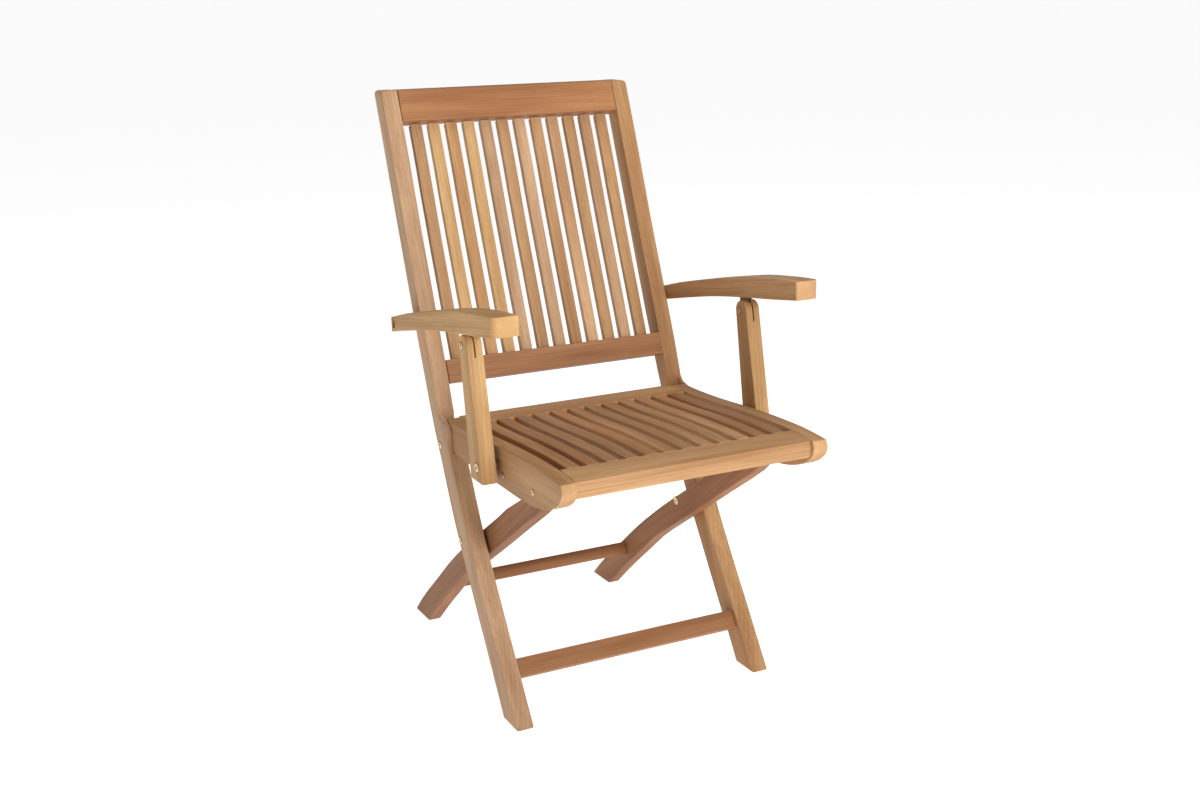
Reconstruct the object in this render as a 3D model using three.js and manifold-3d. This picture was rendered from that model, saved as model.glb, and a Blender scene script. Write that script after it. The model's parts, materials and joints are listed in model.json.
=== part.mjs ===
// Folding armchair in oiled teak: slatted back and seat, crossed legs, hinged arms.
// Millimetres, +Z up, the chair faces -Y and is symmetric about X = 0.
// Side-view points are [y, z] with y = 0 at the front foot; DEPTH_SHIFT centres them.
import * as THREE from 'three';
import { mergeVertices } from 'three/addons/utils/BufferGeometryUtils.js';
import Module from 'manifold-3d';

const wasm = await Module();
wasm.setup();

// ---- driving dimensions ----
const DEPTH_SHIFT = -184.25;
const GAP = 0.3;
const EASE = 3;

const STILE_IN = 200.5;
const STILE_OUT = 230.3;
const CHEEK_IN = 223.8;
const LEG_IN = 172;
const LEG_OUT = 196.8;
const RAIL_IN = 197.4;
const RAIL_OUT = 223.2;
const ARM_IN = 231.3;
const ARM_OUT = 274.5;
const SUPPORT_OUT = 257.2;
const PLATE_X = 244.6;
const PLATE_THICK = 1.8;
const SLOT_WIDTH = 2.4;

const HEIGHT = 947;
const SHOULDER_Z = 383;
const HOUSING_TOP = 450;
const HOUSING_BACK = 288.6;

// pivots, [y, z]
const SEAT_PIVOT = [249, 400];
const LEG_PIVOT = [206, 246];
const LEG_TOP_PIN = [-89, 428];
const ARM_PIVOT = [354.1, 583.8];
const SUPPORT_PIVOT = [58.4, 416.8];
const PLATE_PIVOT = [102.6, 595.4];
const STOP_BOLT = [279, 389];
const RAIL_SCREWS = { front: [-68, 409], rear: [40, 404] };

// how far the seat folds, in degrees, and how fast the rear legs follow it
const FOLD_LIMIT = 84;
const LEG_RATIO = 0.795;

const PIN_R = 3.5;
const BOLT_R = 4;
const HOLE_CLEARANCE = 0.3;
const GROOVE_HALF = 4.2;
const GROOVE_DEPTH = 8;

const SLAT_COUNT = 12;
const BACK_SLAT = { pitch: 31.6, width: 20.3, thick: 11, inset: 15 };
const SEAT_SLAT = { pitch: 31.7, width: 21.4, thick: 12 };

// ---- side-view curves ----
const STILE_REAR = [[52, 0], [113, 90], [173, 180], [231, 270], [278, 360], [310, 420],
  [336, 480], [362, 540], [394, 620], [434, 720], [477, 830], [522, HEIGHT]];
const STILE_FRONT_LOW = [[0, 0], [60, 90], [122, 180], [179, 270], [226, 360], [240, SHOULDER_Z]];
const STILE_FRONT_UP = [[288, 446], [301, 484], [323, 540], [356, 620], [397, 720], [439, 830],
  [486, HEIGHT]];
const CHEEK_FRONT = [[243, 392], [243.5, 420], [249, 428], [260, 433], [280, 438]];

const LEG_LOW = [[468.6, 0], [416, 46], [340, 108], [283, 154], [221, 196], [143, 247], [70, 296],
  [0, 342], [-36, 367]];
const LEG_UP = [[-40, 408], [23, 371], [54, 353], [94, 330.5], [135, 302], [176, 275.5], [264, 217],
  [343, 160], [410, 106], [490, 41], [533, 0]];
const LEG_TIP_R = 11;
const LEG_TONGUE_R = 40;
const LEG_TONGUE_IN = 189.3;

const RAIL_TOP = [[262, 437], [235, 436.5], [200, 437], [160, 438.5], [110, 441.5], [65, 445],
  [20, 447.5], [-40, 450], [-100, 450.5], [-145, 448.2]];
const RAIL_NOSE = [[-160, 446.5], [-164, 442], [-165, 434], [-163, 427], [-155, 417.5], [-142, 408],
  [-123, 399.5], [-100, 392.5], [-79, 388.4], [-56, 386]];
const RAIL_HEEL_R = 16;
const SEAT_FRONT = -104.5;
const SEAT_REAR = 221;
const RAIL_END_LEAN = 0.07;

const ARM_TOP = [[378, 590], [350, 596.5], [300, 610], [228, 626], [174, 637], [80, 655],
  [22, 662.5], [-20, 667], [-60, 669.6]];
const ARM_BOTTOM = [[-60, 640], [12, 629.5], [102, 617.5], [183, 605], [250, 592], [300, 581.5],
  [350, 571], [381, 564]];

// ---- materials ----
function wood(colour, roughness) {
  return new THREE.MeshStandardMaterial({ color: colour, roughness, metalness: 0 });
}

const TEAK = wood(0xc08b55, 0.55);
const TEAK_DARK = wood(0xa87146, 0.58);
const TEAK_GOLD = wood(0xc99a60, 0.5);
const BRASS = new THREE.MeshStandardMaterial({ color: 0xb8964e, roughness: 0.35, metalness: 1 });
const STEEL = new THREE.MeshStandardMaterial({ color: 0x3a3530, roughness: 0.5, metalness: 0.9 });

// ---- geometry helpers ----
const group = new THREE.Group();
group.name = 'folding_armchair';

function smooth(points, count) {
  const curve = new THREE.SplineCurve(points.map(([a, b]) => new THREE.Vector2(a, b)));
  return curve.getSpacedPoints(count).map((p) => [p.x, p.y]);
}

function arc(centre, radius, fromDeg, toDeg, count) {
  const points = [];
  for (let i = 0; i <= count; i += 1) {
    const a = THREE.MathUtils.degToRad(fromDeg + ((toDeg - fromDeg) * i) / count);
    points.push([centre[0] + radius * Math.cos(a), centre[1] + radius * Math.sin(a)]);
  }
  return points;
}

function signedArea(points) {
  return points.reduce((sum, p, i) => {
    const q = points[(i + 1) % points.length];
    return sum + (p[0] * q[1] - q[0] * p[1]) / 2;
  }, 0);
}

// Prism of an outline, with its two end faces eased by `ease`.
function prism(outline, length, ease) {
  const ordered = signedArea(outline) > 0 ? outline : [...outline].reverse();
  const shape = new THREE.Shape(ordered.map(([a, b]) => new THREE.Vector2(a, b)));
  const geometry = new THREE.ExtrudeGeometry(shape, {
    depth: length - 2 * ease,
    bevelEnabled: ease > 0,
    bevelThickness: ease,
    bevelSize: ease,
    bevelOffset: -ease,
    bevelSegments: ease > 1 ? 2 : 1,
    steps: 1,
  });
  geometry.translate(0, 0, ease);
  return geometry;
}

// A side-view outline [y, z] made solid from x = low to x = high.
function sidePrism(outline, low, high, ease = EASE) {
  const geometry = prism(outline, high - low, ease);
  const axes = new THREE.Matrix4().makeBasis(
    new THREE.Vector3(0, 1, 0),
    new THREE.Vector3(0, 0, 1),
    new THREE.Vector3(1, 0, 0),
  );
  geometry.applyMatrix4(axes);
  geometry.translate(low, DEPTH_SHIFT, 0);
  return geometry;
}

// A plan outline [x, y] made solid between two heights.
function planPrism(outline, low, high) {
  const geometry = prism(outline, high - low, 0);
  geometry.translate(0, DEPTH_SHIFT, low);
  return geometry;
}

// The same prism on the right (side = 1) or mirrored on the left (side = -1).
function sided(outline, side, inner, outer, ease = EASE) {
  const low = side > 0 ? inner : -outer;
  return sidePrism(outline, low, low + outer - inner, ease);
}

// A turned piece on the X axis at [y, z]; profile is [radius, x] from inside outwards.
function turned(profile, centre, side, segments = 20) {
  const steps = profile.map(([r, x]) => new THREE.Vector2(r, x));
  const geometry = new THREE.LatheGeometry(steps, segments);
  geometry.rotateZ(-Math.PI / 2);
  if (side < 0) geometry.rotateY(Math.PI);
  geometry.translate(0, centre[0] + DEPTH_SHIFT, centre[1]);
  return geometry;
}

function cylinder(centre, radius, side, inner, outer) {
  return turned([[0, inner], [radius, inner], [radius, outer], [0, outer]], centre, side);
}

function toSolid(geometry) {
  const bare = geometry.clone();
  bare.deleteAttribute('normal');
  bare.deleteAttribute('uv');
  const welded = mergeVertices(bare, 1e-4);
  return new wasm.Manifold(new wasm.Mesh({
    numProp: 3,
    vertProperties: new Float32Array(welded.attributes.position.array),
    triVerts: new Uint32Array(welded.index.array),
  }));
}

function toGeometry(solid) {
  const mesh = solid.getMesh();
  const geometry = new THREE.BufferGeometry();
  geometry.setAttribute('position', new THREE.BufferAttribute(new Float32Array(mesh.vertProperties), 3));
  geometry.setIndex(new THREE.BufferAttribute(new Uint32Array(mesh.triVerts), 1));
  geometry.computeVertexNormals();
  return geometry;
}

function cut(geometry, tools) {
  let solid = toSolid(geometry);
  for (const tool of tools) {
    solid = solid.subtract(toSolid(tool));
  }
  return toGeometry(solid);
}

function hole(centre, radius, side, inner, outer) {
  return cylinder(centre, radius + HOLE_CLEARANCE, side, inner, outer);
}

function add(name, geometry, material) {
  const mesh = new THREE.Mesh(geometry, material);
  mesh.name = name;
  group.add(mesh);
}

function sideName(base, side) {
  return side > 0 ? `${base}_right` : `${base}_left`;
}

function frontY(z) {
  const line = STILE_FRONT_UP;
  for (let i = 1; i < line.length; i += 1) {
    if (z <= line[i][1]) {
      const t = (z - line[i - 1][1]) / (line[i][1] - line[i - 1][1]);
      return line[i - 1][0] + t * (line[i][0] - line[i - 1][0]);
    }
  }
  return line[line.length - 1][0];
}

function rotated(point, centre, degrees) {
  const a = THREE.MathUtils.degToRad(degrees);
  const y = point[0] - centre[0];
  const z = point[1] - centre[1];
  return [
    centre[0] + y * Math.cos(a) - z * Math.sin(a),
    centre[1] + y * Math.sin(a) + z * Math.cos(a),
  ];
}

// Closed band of half-width `half` along a line of points, with round ends.
function band(line, half) {
  const left = [];
  const right = [];
  const heading = (i) => {
    const a = line[Math.max(i - 1, 0)];
    const b = line[Math.min(i + 1, line.length - 1)];
    return Math.atan2(b[1] - a[1], b[0] - a[0]);
  };
  line.forEach(([y, z], i) => {
    const h = heading(i);
    left.push([y - half * Math.sin(h), z + half * Math.cos(h)]);
    right.push([y + half * Math.sin(h), z - half * Math.cos(h)]);
  });
  const degrees = (h) => THREE.MathUtils.radToDeg(h);
  const startCap = arc(line[0], half, degrees(heading(0)) + 90, degrees(heading(0)) + 270, 6);
  const last = line.length - 1;
  const endCap = arc(line[last], half, degrees(heading(last)) - 90, degrees(heading(last)) + 90, 6);
  return [...startCap, ...right.slice(1, -1), ...endCap, ...left.slice(1, -1).reverse()];
}

// ---- back frame ----
function stile(side) {
  const outline = [
    ...smooth(STILE_FRONT_LOW, 8),
    ...CHEEK_FRONT,
    ...smooth(STILE_FRONT_UP, 9),
    ...smooth(STILE_REAR, 20).reverse(),
  ];
  const housing = [[200, SHOULDER_Z], [HOUSING_BACK, SHOULDER_Z], [HOUSING_BACK, HOUSING_TOP],
    [200, HOUSING_TOP]];
  const crown = crownPrism(side);
  const body = toSolid(sided(outline, side, STILE_IN, STILE_OUT)).intersect(toSolid(crown));
  const shaped = cut(toGeometry(body), [
    sided(housing, side, STILE_IN - 5, CHEEK_IN, 0),
    hole(SEAT_PIVOT, BOLT_R, side, CHEEK_IN - 1, 227.6),
    hole(LEG_PIVOT, BOLT_R, side, STILE_IN - 1, STILE_OUT + 1),
    hole(LEG_PIVOT, 6.5, side, 227.6, STILE_OUT + 1),
    hole(ARM_PIVOT, BOLT_R, side, 213, STILE_OUT + 1),
    hole(STOP_BOLT, 6, side, 225.8, STILE_OUT + 1),
  ]);
  add(sideName('stile', side), shaped, TEAK);
}

// Front-view outline that rounds the stile's outer top corner.
function crownPrism(side) {
  const r = 9;
  const corner = arc([STILE_OUT - r, HEIGHT - r], r, 0, 90, 5);
  const outline = [[STILE_IN - 4, -1], [STILE_OUT + 1, -1], [STILE_OUT + 1, HEIGHT - r - 20],
    [STILE_OUT, HEIGHT - r - 19], ...corner, [STILE_IN - 4, HEIGHT]];
  const geometry = prism(outline.map(([x, z]) => [side * x, z]), 900, 0);
  geometry.rotateX(Math.PI / 2);
  geometry.translate(0, 600, 0);
  return geometry;
}

function backRail(name, bottom, top, thick, proud) {
  const face = [[frontY(bottom) - proud, bottom], [frontY(top) - proud, top]];
  const lean = Math.atan2(face[1][0] - face[0][0], top - bottom);
  const back = face.map(([y, z]) => [y + thick * Math.cos(lean), z - thick * Math.sin(lean)]);
  if (top === HEIGHT) back[1] = [face[1][0] + thick + 1, HEIGHT];
  const outline = [face[0], back[0], back[1], face[1]];
  add(name, sided(outline, 1, -STILE_IN + GAP, STILE_IN - GAP, 0.6), TEAK_DARK);
}

function backSlats() {
  const low = 517.5;
  const high = HEIGHT - 56;
  const tilt = 4.6;
  const front = [];
  const rear = [];
  for (let i = 0; i <= 10; i += 1) {
    const z = low + ((high - low) * i) / 10;
    front.push([frontY(z) + BACK_SLAT.inset, z]);
    rear.push([frontY(z - tilt) + BACK_SLAT.inset + BACK_SLAT.thick, z - tilt]);
  }
  const outline = [...front, ...rear.reverse()];
  for (let i = 0; i < SLAT_COUNT; i += 1) {
    const x = (i - (SLAT_COUNT - 1) / 2) * BACK_SLAT.pitch - BACK_SLAT.width / 2;
    const slat = sidePrism(outline, x, x + BACK_SLAT.width, 1);
    add(`back_slat_${String(i + 1).padStart(2, '0')}`, slat, i % 3 === 1 ? TEAK_DARK : TEAK);
  }
}

function frontStretcher() {
  const face = [[51.5, 63], [68, 88.5]];
  const lean = Math.atan2(face[1][0] - face[0][0], face[1][1] - face[0][1]);
  const back = face.map(([y, z]) => [y + 22 * Math.cos(lean), z - 22 * Math.sin(lean)]);
  const outline = [face[0], back[0], back[1], face[1]];
  add('front_stretcher', sided(outline, 1, -STILE_IN + GAP, STILE_IN - GAP, 0.6), TEAK_DARK);
}

// ---- rear legs ----
function rearLeg(side) {
  const tip = arc(LEG_TOP_PIN, LEG_TIP_R, 225, 55, 10);
  const outline = [...smooth(LEG_LOW, 16), ...tip, ...smooth(LEG_UP, 18)];
  const shaped = cut(sided(outline, side, LEG_IN, LEG_OUT), [
    cylinder(LEG_TOP_PIN, LEG_TONGUE_R, side, LEG_IN - 1, LEG_TONGUE_IN),
    hole(LEG_TOP_PIN, PIN_R, side, LEG_TONGUE_IN - 1, LEG_OUT + 1),
    hole(LEG_PIVOT, BOLT_R, side, LEG_IN - 1, LEG_OUT + 1),
    hole(LEG_PIVOT, 7.6, side, LEG_IN - 1, LEG_IN + 2.2),
  ]);
  add(sideName('rear_leg', side), shaped, TEAK_DARK);
}

function rearStretcher() {
  const half = LEG_IN - GAP;
  const bar = turned([[0, -half], [11.5, -half], [11.5, half], [0, half]], [401, 94], 1, 28);
  add('rear_stretcher', bar, TEAK_DARK);
}

// ---- seat ----
// Path of the leg-top pin seen from the seat as it folds.
function pinPath() {
  const path = [];
  for (let i = 0; i <= 24; i += 1) {
    const fold = (FOLD_LIMIT * i) / 24;
    const inWorld = rotated(LEG_TOP_PIN, LEG_PIVOT, -LEG_RATIO * fold);
    path.push(rotated(inWorld, SEAT_PIVOT, fold));
  }
  return path;
}

function seatSideRail(side) {
  const heel = arc(SEAT_PIVOT, RAIL_HEEL_R, -90, 0, 5);
  const endTop = [265 + 30 * RAIL_END_LEAN, 430];
  const outline = [...heel, endTop, ...smooth(RAIL_TOP, 16), ...smooth(RAIL_NOSE, 12),
    [-15, 384.4]];
  const shaped = cut(sided(outline, side, RAIL_IN, RAIL_OUT, 2), [
    sided(band(pinPath(), GROOVE_HALF), side, RAIL_IN - 3, RAIL_IN + GROOVE_DEPTH, 0),
    hole(SEAT_PIVOT, BOLT_R, side, 208, RAIL_OUT + 1),
    hole(SUPPORT_PIVOT, BOLT_R, side, 206, RAIL_OUT + 1),
    hole(RAIL_SCREWS.front, 5, side, 215, RAIL_OUT + 1),
    hole(RAIL_SCREWS.rear, 5, side, 215, RAIL_OUT + 1),
  ]);
  add(sideName('seat_side_rail', side), shaped, TEAK);
}

function seatTopZ(y) {
  const line = [...RAIL_TOP].reverse();
  for (let i = 1; i < line.length; i += 1) {
    if (y <= line[i][0]) {
      const t = (y - line[i - 1][0]) / (line[i][0] - line[i - 1][0]);
      return line[i - 1][1] + t * (line[i][1] - line[i - 1][1]);
    }
  }
  return line[line.length - 1][1];
}

function seatFrontRail() {
  const outline = [[SEAT_FRONT, 420], [SEAT_FRONT, seatTopZ(SEAT_FRONT)], [-147, 448], [-154, 445.5],
    [-157, 440], [-157.5, 426], [-154.5, 420]];
  add('seat_front_rail', sided(outline, 1, -RAIL_IN + GAP, RAIL_IN - GAP, 0.6), TEAK_DARK);
}

function seatRearRail() {
  const outline = [[SEAT_REAR, 417], [262, 417], [270, 421], [276, 428], [277, 432], [274, 435.5],
    [250, 436.8], [SEAT_REAR, seatTopZ(SEAT_REAR)]];
  add('seat_rear_rail', sided(outline, 1, -RAIL_IN + GAP, RAIL_IN - GAP, 0.6), TEAK_DARK);
}

function seatSlats() {
  const top = [];
  const from = SEAT_FRONT + GAP;
  const to = SEAT_REAR - GAP;
  for (let i = 0; i <= 10; i += 1) {
    const y = from + ((to - from) * i) / 10;
    top.push([y, seatTopZ(y)]);
  }
  const bottom = top.map(([y, z]) => [y, z - SEAT_SLAT.thick]);
  const outline = [...bottom, ...top.reverse()];
  for (let i = 0; i < SLAT_COUNT; i += 1) {
    const x = (i - (SLAT_COUNT - 1) / 2) * SEAT_SLAT.pitch - SEAT_SLAT.width / 2;
    const slat = sidePrism(outline, x, x + SEAT_SLAT.width, 1);
    add(`seat_slat_${String(i + 1).padStart(2, '0')}`, slat, i % 2 ? TEAK : TEAK_GOLD);
  }
}

// ---- arms ----
function armPlan(side) {
  const front = -60;
  const rear = 381;
  const r = 13;
  const outline = [
    [ARM_IN, rear],
    ...arc([ARM_IN + 5, front + 5], 5, 180, 270, 3),
    ...arc([ARM_OUT - r, front + r], r, 270, 360, 6),
    ...arc([ARM_OUT - 22, rear - 22], 22, 0, 90, 6),
  ];
  return planPrism(outline.map(([x, y]) => [side * x, y]), 500, 700);
}

function alongUnderside(y, offset) {
  const line = ARM_BOTTOM;
  for (let i = 1; i < line.length; i += 1) {
    if (y <= line[i][0]) {
      const t = (y - line[i - 1][0]) / (line[i][0] - line[i - 1][0]);
      return [y, line[i - 1][1] + t * (line[i][1] - line[i - 1][1]) + offset];
    }
  }
  return [y, line[line.length - 1][1] + offset];
}

function arm(side) {
  const outline = [...smooth(ARM_BOTTOM, 16), ...smooth(ARM_TOP, 16)];
  const body = toSolid(sided(outline, side, ARM_IN, ARM_OUT)).intersect(toSolid(armPlan(side)));
  const groove = [alongUnderside(82, -8), alongUnderside(168, -8), alongUnderside(168, 17),
    alongUnderside(82, 17)];
  const half = SLOT_WIDTH / 2;
  const shaped = cut(toGeometry(body), [
    sided(groove, side, PLATE_X - half, PLATE_X + half, 0),
    hole(ARM_PIVOT, BOLT_R, side, ARM_IN - 1, 264),
    hole(ARM_PIVOT, 8, side, 262, ARM_OUT + 1),
  ]);
  add(sideName('arm', side), shaped, TEAK_GOLD);
}

function armSupport(side) {
  const outline = [
    [38.8, 394], [78, 394], [83.6, 396], [113, 594],
    ...arc([97.3, 597], 16.2, 0, 180, 8),
    [39.3, 397],
  ];
  const half = SLOT_WIDTH / 2;
  const slot = [[40, 580.5], [160, 580.5], [160, 640], [40, 640]];
  const shaped = cut(sided(outline, side, ARM_IN, SUPPORT_OUT, 2), [
    sided(slot, side, PLATE_X - half, PLATE_X + half, 0),
    hole(PLATE_PIVOT, PIN_R, side, ARM_IN - 1, SUPPORT_OUT + 1),
    hole(PLATE_PIVOT, 6, side, SUPPORT_OUT - 3, SUPPORT_OUT + 1),
    hole(SUPPORT_PIVOT, BOLT_R, side, ARM_IN - 1, SUPPORT_OUT + 1),
    hole(SUPPORT_PIVOT, 8, side, SUPPORT_OUT - 3, SUPPORT_OUT + 1),
  ]);
  add(sideName('arm_support', side), shaped, TEAK_GOLD);
}

function hingePlate(side) {
  const [y, z] = PLATE_PIVOT;
  const top = [alongUnderside(y - 17, 13), alongUnderside(y + 17, 13)];
  const outline = [...arc([y, z], 10, 200, 340, 8), [y + 17, z + 14], top[1], top[0],
    [y - 17, z + 14]];
  const half = PLATE_THICK / 2;
  const plate = toSolid(sided(outline, side, PLATE_X - half, PLATE_X + half, 0));
  const pinEnd = SUPPORT_OUT - 2.7;
  const profile = [[0, ARM_IN + GAP], [PIN_R, ARM_IN + GAP], [PIN_R, pinEnd], [6, pinEnd],
    [6, pinEnd + 2], [5, pinEnd + 2.7], [0, pinEnd + 2.7]];
  const pin = toSolid(turned(profile, PLATE_PIVOT, side));
  add(sideName('arm_hinge_plate', side), toGeometry(plate.add(pin)), STEEL);
}

// ---- brass pins and bolts ----
function fittings(side) {
  const pin = [[0, 208.5], [BOLT_R, 208.5], [BOLT_R, 227.2], [0, 227.2]];
  add(sideName('seat_pivot_pin', side), turned(pin, SEAT_PIVOT, side), BRASS);

  const stop = [[0, 226.2], [6, 226.2], [6, 230.4], [5, 231], [0, 231]];
  add(sideName('seat_stop_bolt', side), turned(stop, STOP_BOLT, side), BRASS);

  const cross = [[0, LEG_IN - 0.4], [6.8, LEG_IN - 0.4], [7.6, LEG_IN + 0.4], [7.6, LEG_IN + 1.9],
    [BOLT_R, LEG_IN + 1.9],
    [BOLT_R, LEG_OUT + GAP], [11, LEG_OUT + GAP], [11, STILE_IN - GAP], [BOLT_R, STILE_IN - GAP],
    [BOLT_R, 228], [6.5, 228], [6.5, 230.2], [5.5, 230.8], [0, 230.8]];
  add(sideName('leg_cross_bolt', side), turned(cross, LEG_PIVOT, side), BRASS);

  const slide = [[0, 190], [PIN_R, 190], [PIN_R, 204.8], [0, 204.8]];
  add(sideName('leg_slide_pin', side), turned(slide, LEG_TOP_PIN, side), BRASS);

  const armBolt = [[0, 213.5], [BOLT_R, 213.5], [BOLT_R, 262.3], [8, 262.3], [8, 265.5],
    [7, 266.3], [0, 266.3]];
  add(sideName('arm_pivot_bolt', side), turned(armBolt, ARM_PIVOT, side), BRASS);

  const support = [[0, 206.5], [BOLT_R, 206.5], [BOLT_R, RAIL_OUT + GAP], [7, RAIL_OUT + GAP],
    [7, ARM_IN - GAP], [BOLT_R, ARM_IN - GAP], [BOLT_R, SUPPORT_OUT - 2.7],
    [8, SUPPORT_OUT - 2.7], [8, SUPPORT_OUT - 0.3], [7, SUPPORT_OUT + 0.4],
    [0, SUPPORT_OUT + 0.4]];
  add(sideName('support_pivot_bolt', side), turned(support, SUPPORT_PIVOT, side), BRASS);

  const screw = [[0, 215.5], [5, 215.5], [5, RAIL_OUT - 0.2], [4, RAIL_OUT + 0.3],
    [0, RAIL_OUT + 0.3]];
  for (const end of ['front', 'rear']) {
    add(sideName(`rail_screw_${end}`, side), turned(screw, RAIL_SCREWS[end], side), BRASS);
  }
}

backRail('top_rail', HEIGHT - 49, HEIGHT, 28, 0);
backRail('lower_back_rail', 487, 522, 28, 2);
backSlats();
frontStretcher();
rearStretcher();
seatFrontRail();
seatRearRail();
seatSlats();
for (const side of [-1, 1]) {
  stile(side);
  rearLeg(side);
  seatSideRail(side);
  arm(side);
  armSupport(side);
  hingePlate(side);
  fittings(side);
}

export default group;
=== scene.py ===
"""Looks for the teak folding armchair: refined boards, procedural teak, brass and a pale studio."""

import json
import math
import random

import bmesh
import bpy
from mathutils import Matrix, Vector


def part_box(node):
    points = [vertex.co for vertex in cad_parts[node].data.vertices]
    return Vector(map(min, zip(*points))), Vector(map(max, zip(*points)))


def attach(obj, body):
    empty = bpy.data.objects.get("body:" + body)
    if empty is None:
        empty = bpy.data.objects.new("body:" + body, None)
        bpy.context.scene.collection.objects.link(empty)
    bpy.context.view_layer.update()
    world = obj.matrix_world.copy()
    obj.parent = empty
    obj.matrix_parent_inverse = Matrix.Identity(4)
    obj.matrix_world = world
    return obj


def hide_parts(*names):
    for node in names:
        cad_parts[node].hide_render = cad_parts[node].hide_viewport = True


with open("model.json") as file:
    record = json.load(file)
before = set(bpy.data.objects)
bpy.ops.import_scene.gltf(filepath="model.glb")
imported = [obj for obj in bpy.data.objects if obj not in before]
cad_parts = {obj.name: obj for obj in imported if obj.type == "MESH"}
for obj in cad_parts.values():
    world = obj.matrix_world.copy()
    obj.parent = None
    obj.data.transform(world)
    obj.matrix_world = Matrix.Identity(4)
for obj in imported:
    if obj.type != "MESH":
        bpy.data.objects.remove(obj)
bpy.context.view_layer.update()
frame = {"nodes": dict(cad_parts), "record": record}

# ---- driving values ----
CAMERA_PLACE = (-1.0720, -2.1403, 1.1140)
CAMERA_YAW = 26.94
CAMERA_PITCH = 15.36
CAMERA_ROLL = -0.85
CAMERA_LENS = 45.48

SKY_LIGHT = 0.16
HORIZON_LIGHT = 1.05
FLOOR_GLOW = 0.78
FLOOR_SIZE = 600
FLOOR_DROP = 0.0005
HORIZON_TOP = 0.05
SKY_FROM = 0.35
LIGHT_TARGET = (0, 0, 0.5)

WELD = 2e-5
SLAT_EDGE = 0.0011
BOARD_EDGE = 0.0014
EDGE_SEGMENTS = 3
RING_PITCH = 0.0042

SHARP = math.radians(50)
SMOOTH = math.radians(40)
FLAT = math.radians(0.3)

# Grain direction of each kind of board, in the side view or across the chair.
UP_BACK = Vector((0, 0.42, 0.91))
LEG_RUN = Vector((0, 0.80, -0.60))
ARM_RUN = Vector((0, 1, -0.17))
SUPPORT_RUN = Vector((0, 0.18, 0.98))
ACROSS = Vector((1, 0, 0))
DEEP = Vector((0, 1, -0.04))

# Board colours as linear RGB.
HONEY = (0.46, 0.262, 0.122)
RED = (0.345, 0.160, 0.068)
DEEP_RED = (0.285, 0.128, 0.054)
GOLD = (0.52, 0.315, 0.135)
PALE = (0.50, 0.306, 0.170)
AMBER = (0.43, 0.232, 0.105)
RUSSET = (0.37, 0.183, 0.080)


# ---- boards ----
BOARDS = {
    "stile_left": (UP_BACK, PALE),
    "stile_right": (UP_BACK, HONEY),
    "top_rail": (ACROSS, RED),
    "lower_back_rail": (ACROSS, RED),
    "front_stretcher": (ACROSS, RED),
    "rear_stretcher": (ACROSS, DEEP_RED),
    "rear_leg_left": (LEG_RUN, DEEP_RED),
    "rear_leg_right": (LEG_RUN, DEEP_RED),
    "seat_side_rail_left": (DEEP, HONEY),
    "seat_side_rail_right": (DEEP, HONEY),
    "seat_front_rail": (ACROSS, HONEY),
    "seat_rear_rail": (ACROSS, HONEY),
    "arm_left": (ARM_RUN, GOLD),
    "arm_right": (ARM_RUN, HONEY),
    "arm_support_left": (SUPPORT_RUN, GOLD),
    "arm_support_right": (SUPPORT_RUN, GOLD),
}
BACK_TINTS = (HONEY, GOLD, HONEY, GOLD, PALE, HONEY, PALE, HONEY, PALE, HONEY, PALE, HONEY)
SEAT_TINTS = (AMBER, RUSSET, AMBER, AMBER, RUSSET, AMBER, HONEY, AMBER, HONEY, HONEY, AMBER, RUSSET)
for i in range(12):
    BOARDS[f"back_slat_{i + 1:02d}"] = (UP_BACK, BACK_TINTS[i])
    BOARDS[f"seat_slat_{i + 1:02d}"] = (DEEP, SEAT_TINTS[i])


def body_name(node):
    for body, nodes in frame["record"]["behaviour"]["bodies"].items():
        if node in nodes:
            return body
    raise KeyError(node)


def add_piece(name, mesh):
    piece = bpy.data.objects.new(name, mesh)
    bpy.context.scene.collection.objects.link(piece)
    return piece


def cleaned_mesh(node, edge_radius, segments):
    """The node's solid with its flat faces joined and its sharp outer edges rounded."""
    mesh = frame["nodes"][node].data.copy()
    mesh.materials.clear()
    bm = bmesh.new()
    bm.from_mesh(mesh)
    bmesh.ops.remove_doubles(bm, verts=bm.verts, dist=WELD)
    bmesh.ops.dissolve_limit(bm, angle_limit=FLAT, verts=bm.verts, edges=bm.edges)
    sharp = [e for e in bm.edges if e.is_manifold and e.is_convex and e.calc_face_angle() > SHARP]
    wear_and_highlight = bm.faces.layers.float.new("wear_and_highlight")
    if sharp:
        # The rounded faces are marked to be painted paler: partly edge wear, partly painted
        # highlight.
        made = bmesh.ops.bevel(bm, geom=sharp, offset=edge_radius, segments=segments,
                               profile=0.5, affect="EDGES", clamp_overlap=True)
        for face in made["faces"]:
            face[wear_and_highlight] = 1.0
    for face in bm.faces:
        face.smooth = True
    for edge in bm.edges:
        edge.smooth = not (edge.is_manifold and edge.calc_face_angle() > SMOOTH)
    bm.to_mesh(mesh)
    bm.free()
    for name in [a.name for a in mesh.color_attributes]:
        mesh.color_attributes.remove(mesh.color_attributes[name])
    return mesh


def grain_axes(along):
    a = along.normalized()
    side = Vector((0, 0, 1)) if abs(a.x) > 0.9 else Vector((1, 0, 0))
    b = (side - a * side.dot(a)).normalized()
    return Matrix((a, b, a.cross(b)))


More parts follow.
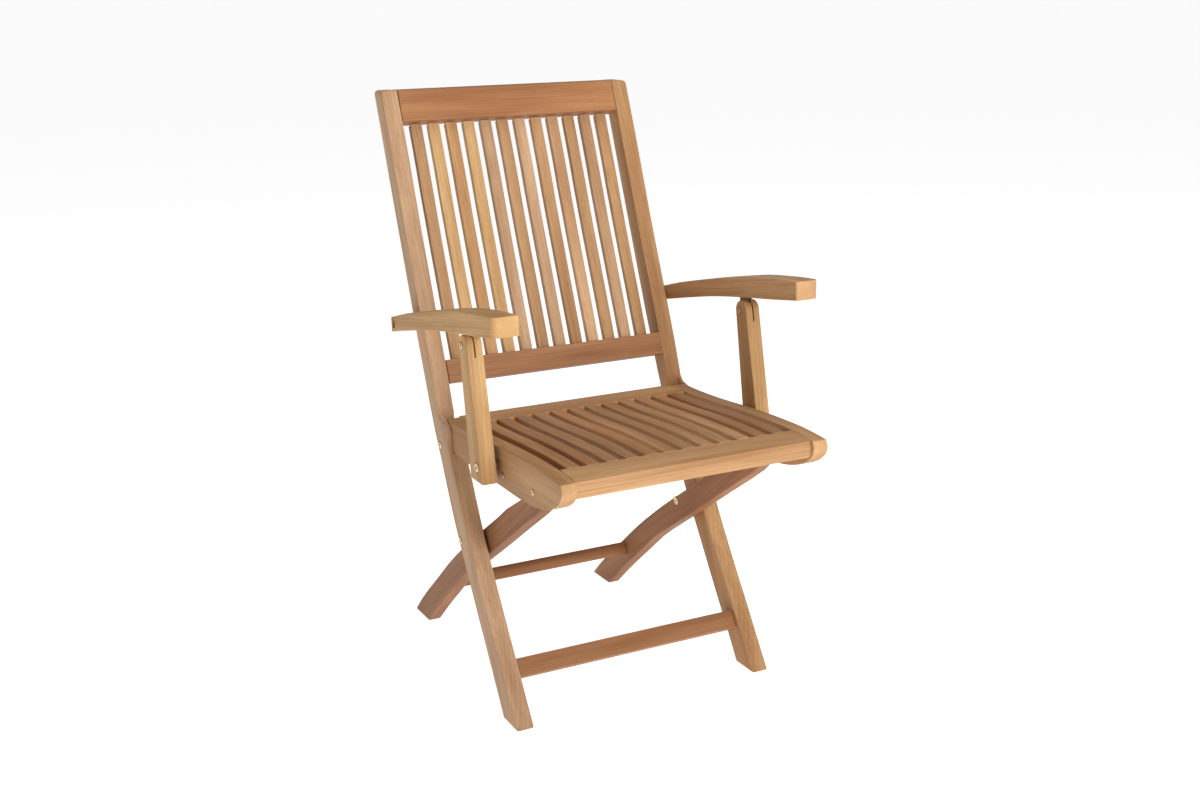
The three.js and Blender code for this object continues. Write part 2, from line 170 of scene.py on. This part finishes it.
def paint_board(mesh, along, tint, seed):
    """Stores each point's place in its own plank, the plank's tint and the end-grain faces."""
    rng = random.Random(seed)
    axes = grain_axes(along)
    count = len(mesh.vertices)
    middle = sum((v.co for v in mesh.vertices), Vector()) / count
    pith = Vector((rng.uniform(-9, 9), rng.uniform(0.03, 0.09), rng.uniform(-0.09, -0.03)))
    grain = mesh.attributes.new("grain", "FLOAT_VECTOR", "POINT")
    for v in mesh.vertices:
        grain.data[v.index].vector = axes @ (v.co - middle) + pith
    light = rng.uniform(0.92, 1.08)
    warm = rng.uniform(-0.03, 0.03)
    colour = (tint[0] * light * (1 + warm), tint[1] * light, tint[2] * light * (1 - 2 * warm), 1)
    shade = mesh.attributes.new("tint", "FLOAT_COLOR", "POINT")
    for v in mesh.vertices:
        shade.data[v.index].color = colour
    ends = mesh.attributes.new("end_grain", "FLOAT", "FACE")
    a = along.normalized()
    for face in mesh.polygons:
        lean = abs(face.normal.dot(a))
        ends.data[face.index].value = min(max((lean - 0.6) / 0.3, 0), 1)


# ---- materials ----
def new_material(name):
    material = bpy.data.materials.new(name)
    material.use_nodes = True
    nodes = material.node_tree.nodes
    nodes.clear()
    out = nodes.new("ShaderNodeOutputMaterial")
    shader = nodes.new("ShaderNodeBsdfPrincipled")
    material.node_tree.links.new(shader.outputs["BSDF"], out.inputs["Surface"])
    return material, material.node_tree, shader


class Graph:
    """Short calls for adding nodes to a material."""

    def __init__(self, tree):
        self.tree = tree

    def put(self, value, socket):
        if hasattr(value, "is_output"):
            self.tree.links.new(value, socket)
        else:
            socket.default_value = value

    def attribute(self, name, output):
        node = self.tree.nodes.new("ShaderNodeAttribute")
        node.attribute_name = name
        return node.outputs[output]

    def math(self, operation, a, b=0.0):
        node = self.tree.nodes.new("ShaderNodeMath")
        node.operation = operation
        self.put(a, node.inputs[0])
        self.put(b, node.inputs[1])
        return node.outputs[0]

    def scaled(self, vector, scale):
        node = self.tree.nodes.new("ShaderNodeVectorMath")
        node.operation = "MULTIPLY"
        self.put(vector, node.inputs[0])
        node.inputs[1].default_value = scale
        return node.outputs[0]

    def noise(self, vector, scale, detail=2.0, roughness=0.5):
        node = self.tree.nodes.new("ShaderNodeTexNoise")
        self.put(vector, node.inputs["Vector"])
        node.inputs["Scale"].default_value = scale
        node.inputs["Detail"].default_value = detail
        node.inputs["Roughness"].default_value = roughness
        return node.outputs["Fac"]

    def ramp(self, value, low, high, out_low=0.0, out_high=1.0):
        node = self.tree.nodes.new("ShaderNodeMapRange")
        self.put(value, node.inputs["Value"])
        node.inputs["From Min"].default_value = low
        node.inputs["From Max"].default_value = high
        node.inputs["To Min"].default_value = out_low
        node.inputs["To Max"].default_value = out_high
        return node.outputs["Result"]

    def mix(self, fac, a, b, blend="MIX"):
        node = self.tree.nodes.new("ShaderNodeMix")
        node.data_type = "RGBA"
        node.blend_type = blend
        self.put(fac, node.inputs[0])
        self.put(a, node.inputs[6])
        self.put(b, node.inputs[7])
        return node.outputs[2]

    def bump(self, height, strength, distance):
        node = self.tree.nodes.new("ShaderNodeBump")
        node.inputs["Strength"].default_value = strength
        node.inputs["Distance"].default_value = distance
        self.put(height, node.inputs["Height"])
        return node.outputs["Normal"]


def ring_distance(g, grain):
    """Distance from the tree's heart, wandering a little along the board."""
    split = g.tree.nodes.new("ShaderNodeSeparateXYZ")
    g.put(grain, split.inputs[0])
    wander = g.noise(g.scaled(grain, (1.6, 9, 9)), 1.0, 2.0)
    fine = g.noise(g.scaled(grain, (6, 60, 60)), 1.0, 2.0)
    shift = g.math("ADD", g.ramp(wander, 0, 1, -0.034, 0.034), g.ramp(fine, 0, 1, -0.002, 0.002))
    across = g.math("ADD", split.outputs[1], shift)
    through = g.math("ADD", split.outputs[2], shift)
    square = g.math("ADD", g.math("MULTIPLY", across, across), g.math("MULTIPLY", through, through))
    return g.math("SQRT", square)


def teak():
    material, tree, shader = new_material("teak_oiled")
    g = Graph(tree)
    grain = g.attribute("grain", "Vector")
    tint = g.attribute("tint", "Color")
    end_grain = g.attribute("end_grain", "Fac")
    wear_and_highlight = g.attribute("wear_and_highlight", "Fac")

    phase = g.math("FRACT", g.math("DIVIDE", ring_distance(g, grain), RING_PITCH))
    late = g.math("POWER", phase, 3.0)
    patchy = g.noise(g.scaled(grain, (2.5, 30, 30)), 1.0, 3.0)
    streak = g.noise(g.scaled(grain, (7, 330, 330)), 1.0, 4.0, 0.6)
    fibre = g.noise(g.scaled(grain, (30, 1500, 1500)), 1.0, 2.0, 0.6)
    pores = g.ramp(g.noise(g.scaled(grain, (90, 1900, 1900)), 1.0, 1.0), 0.66, 0.76)

    dark = g.mix(1.0, tint, (0.58, 0.45, 0.36, 1), "MULTIPLY")
    deep = g.mix(1.0, tint, (0.84, 0.78, 0.72, 1), "MULTIPLY")
    pale = g.mix(1.0, tint, (1.20, 1.24, 1.28, 1), "MULTIPLY")
    colour = g.mix(g.ramp(patchy, 0.36, 0.66), deep, pale)
    rings = g.math("MULTIPLY", late, g.ramp(patchy, 0.3, 0.7, 0.55, 0.2))
    rings = g.math("MULTIPLY", rings, g.ramp(end_grain, 0, 1, 1, 0.35))
    colour = g.mix(rings, colour, dark)
    colour = g.mix(g.ramp(streak, 0.48, 0.75, 0, 0.55), colour, dark)
    colour = g.mix(g.ramp(fibre, 0.45, 0.75, 0, 0.28), colour, dark)
    colour = g.mix(g.math("MULTIPLY", pores, 0.5), colour, dark)
    colour = g.mix(g.math("MULTIPLY", end_grain, 0.45), colour, pale)
    # Rounded edges painted paler: partly edge wear, partly painted highlight.
    colour = g.mix(g.math("MULTIPLY", wear_and_highlight, g.ramp(patchy, 0.4, 0.6, 0.15, 0.6)), colour, pale)
    g.put(colour, shader.inputs["Base Color"])

    rough = g.ramp(streak, 0.3, 0.7, 0.5, 0.64)
    g.put(g.math("ADD", rough, g.math("MULTIPLY", end_grain, 0.15)), shader.inputs["Roughness"])
    shader.inputs["Specular IOR Level"].default_value = 0.25
    relief = g.math("SUBTRACT", g.math("MULTIPLY", fibre, 0.6), pores)
    g.put(g.bump(relief, 0.35, 0.0002), shader.inputs["Normal"])
    return material


def metal(name, colour, roughness, tarnish):
    material, tree, shader = new_material(name)
    g = Graph(tree)
    place = tree.nodes.new("ShaderNodeTexCoord").outputs["Object"]
    cloud = g.noise(place, 260.0, 4.0, 0.6)
    scuff = g.noise(g.scaled(place, (1, 1, 6)), 900.0, 2.0)
    stained = tuple(c * tarnish for c in colour) + (1,)
    g.put(g.mix(g.ramp(cloud, 0.4, 0.7), colour + (1,), stained), shader.inputs["Base Color"])
    g.put(g.ramp(cloud, 0.3, 0.7, roughness, roughness + 0.2), shader.inputs["Roughness"])
    shader.inputs["Metallic"].default_value = 1.0
    g.put(g.bump(scuff, 0.15, 0.0001), shader.inputs["Normal"])
    return material


TEAK = teak()
BRASS = metal("brass_aged", (0.82, 0.55, 0.32), 0.24, 0.55)
# Dark bronze for the hinge plates; on the support pivot bolts, whose collars sit in the gap between
# support and rail, it is painted shade in that gap.
PLATE_AND_GAP_SHADE = metal("plate_bronze_and_gap_shade", (0.26, 0.17, 0.10), 0.42, 0.6)
# Near-black metal: painted shade for the recessed rim around each bolt head and for its drive
# recess.
SHADE = metal("recess_shade_dark", (0.10, 0.07, 0.04), 0.6, 0.6)


# ---- the boards ----
def make_boards():
    for number, (node, (along, tint)) in enumerate(sorted(BOARDS.items())):
        radius = SLAT_EDGE if "slat" in node else BOARD_EDGE
        mesh = cleaned_mesh(node, radius, EDGE_SEGMENTS)
        paint_board(mesh, along, tint, 100 + number)
        piece = add_piece(f"{node}_teak", mesh)
        mesh.materials.append(TEAK)
        weighted = piece.modifiers.new("weighted", "WEIGHTED_NORMAL")
        weighted.keep_sharp = True
        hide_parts(node)
        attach(piece, body_name(node))


def finish_metal():
    for node, obj in frame["nodes"].items():
        if node in BOARDS:
            continue
        # The support pivot bolts take the dark plate metal as painted shade in the gap beside the
        # rail.
        dark_plate_and_gap_shade = node.startswith(("arm_hinge_plate", "support_pivot_bolt"))
        material = PLATE_AND_GAP_SHADE if dark_plate_and_gap_shade else BRASS
        obj.data.materials.clear()
        obj.data.materials.append(material)


def disc_mesh(name, steps, place, side, count=40):
    """A turned disc on the X axis: (radius, height) steps from its rim to its middle."""
    bm = bmesh.new()
    rings = []
    for radius, height in steps:
        ring = []
        for i in range(count):
            a = 2 * math.pi * i / count
            ring.append(bm.verts.new((place[0] + side * height, place[1] + radius * math.cos(a),
                                      place[2] + radius * math.sin(a))))
        rings.append(ring)
    for near, far in zip(rings, rings[1:]):
        for i in range(count):
            j = (i + 1) % count
            bm.faces.new((near[i], near[j], far[j], far[i]))
    bm.faces.new(rings[0])
    bm.faces.new(rings[-1])
    bmesh.ops.recalc_face_normals(bm, faces=bm.faces)
    for face in bm.faces:
        face.smooth = True
    for edge in bm.edges:
        edge.smooth = not (edge.is_manifold and edge.calc_face_angle() > SMOOTH)
    mesh = bpy.data.meshes.new(name)
    bm.to_mesh(mesh)
    bm.free()
    return mesh


# Bolts whose outer end shows: the board it is set in and the radius of its head.
HEADS = {
    "seat_stop_bolt": ("stile", 0.0058),
    "leg_cross_bolt": ("stile", 0.0062),
    "arm_pivot_bolt": ("arm_pivot_bolt", 0.0068),
    "support_pivot_bolt": ("arm_support", 0.0074),
    "rail_screw_front": ("seat_side_rail", 0.0048),
    "rail_screw_rear": ("seat_side_rail", 0.0048),
    "arm_hinge_plate": ("arm_support", 0.0058),
}
# The same for the inner ends.
INNER_HEADS = {
    "leg_cross_bolt": ("rear_leg", 0.0070),
    "arm_hinge_plate": ("arm_support", 0.0052),
}


def plate_pin():
    """Where the hinge plates' pin crosses the side view: their joint's own place."""
    for joint in frame["record"]["behaviour"]["joints"]:
        if joint["name"] == "plate_left_pivot":
            return joint["pos_m"][1], joint["pos_m"][2]
    raise KeyError("plate_left_pivot")


def add_head(name, node, place, side, radius):
    """One bolt's head: rim and drive recess in painted shade, brass dome between them."""
    steps = [(radius * 1.18, -0.0004), (radius * 1.18, 0.00005), (radius * 1.02, 0.0001),
             (radius, 0.0003), (radius * 0.93, 0.0007), (radius * 0.75, 0.0010),
             (radius * 0.5, 0.0012), (radius * 0.42, 0.0011), (radius * 0.38, 0.0002)]
    mesh = disc_mesh(name, steps, place, side)
    mesh.materials.append(BRASS)
    mesh.materials.append(SHADE)
    for face in mesh.polygons:
        from_axis = math.hypot(face.center.y - place.y, face.center.z - place.z)
        # The rim, the bottom cap and the drive recess take the painted shade.
        if len(face.vertices) > 4 or from_axis > radius:
            face.material_index = 1
    piece = add_piece(name, mesh)
    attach(piece, body_name(node))


def head_place(base, host, word, outward):
    """Where a bolt's axis leaves its board's outer (or inner) face."""
    low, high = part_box(f"{base}_{word}")
    board_low, board_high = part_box(f"{host}_{word}")
    place = (Vector(low) + Vector(high)) / 2
    if base == "arm_hinge_plate":
        place.yz = plate_pin()
    place.x = board_high[0] if outward > 0 else board_low[0]
    return place


def make_heads():
    """A domed brass head with a rim and a round drive recess in painted shade on each bolt's end.
    """
    for word, side in (("left", -1), ("right", 1)):
        for base, (host, radius) in HEADS.items():
            place = head_place(base, host, word, side)
            add_head(f"{base}_{word}_head", f"{base}_{word}", place, side, radius)
        for base, (host, radius) in INNER_HEADS.items():
            place = head_place(base, host, word, -side)
            add_head(f"{base}_{word}_inner_head", f"{base}_{word}", place, -side, radius)


# ---- stage ----
def make_floor():
    bpy.ops.mesh.primitive_plane_add(size=FLOOR_SIZE, location=(0, 0, -FLOOR_DROP))
    floor = bpy.context.object
    floor.name = "floor"
    material, tree, shader = new_material("floor_pale")
    shader.inputs["Base Color"].default_value = (0.86, 0.86, 0.86, 1)
    shader.inputs["Roughness"].default_value = 0.9
    shader.inputs["Specular IOR Level"].default_value = 0.1
    shader.inputs["Emission Color"].default_value = (1, 1, 1, 1)
    shader.inputs["Emission Strength"].default_value = FLOOR_GLOW
    floor.data.materials.append(material)


def area_light(name, place, target, size, power):
    data = bpy.data.lights.new(name, "AREA")
    data.shape = "DISK"
    data.size = size
    data.energy = power
    light = bpy.data.objects.new(name, data)
    light.location = place
    light.rotation_euler = (Vector(target) - Vector(place)).to_track_quat("-Z", "Y").to_euler()
    bpy.context.scene.collection.objects.link(light)


def make_lights():
    """A sky that is bright at the horizon and dim above, with one front and one top light."""
    world = bpy.data.worlds.new("studio")
    world.use_nodes = True
    background = world.node_tree.nodes["Background"]
    background.inputs["Color"].default_value = (1.0, 1.0, 1.0, 1)
    g = Graph(world.node_tree)
    split = world.node_tree.nodes.new("ShaderNodeSeparateXYZ")
    g.put(world.node_tree.nodes.new("ShaderNodeTexCoord").outputs["Generated"], split.inputs[0])
    glow = g.ramp(split.outputs[2], HORIZON_TOP, SKY_FROM, HORIZON_LIGHT, SKY_LIGHT)
    g.put(glow, background.inputs["Strength"])
    bpy.context.scene.world = world
    area_light("front", (0.3, -3.6, 1.7), LIGHT_TARGET, 2.2, 90)
    area_light("top", (0.2, -0.2, 3.4), LIGHT_TARGET, 2.4, 38)


def make_camera():
    data = bpy.data.cameras.new("camera")
    data.lens = CAMERA_LENS
    data.sensor_width = 36
    camera = bpy.data.objects.new("camera", data)
    turn = (
        Matrix.Rotation(math.radians(-CAMERA_YAW), 4, "Z")
        @ Matrix.Rotation(math.radians(90 - CAMERA_PITCH), 4, "X")
        @ Matrix.Rotation(math.radians(CAMERA_ROLL), 4, "Z")
    )
    camera.matrix_world = Matrix.Translation(CAMERA_PLACE) @ turn
    bpy.context.scene.collection.objects.link(camera)
    bpy.context.scene.camera = camera
    bpy.context.scene.view_settings.view_transform = "Standard"


make_boards()
finish_metal()
make_heads()
make_floor()
make_lights()
make_camera()
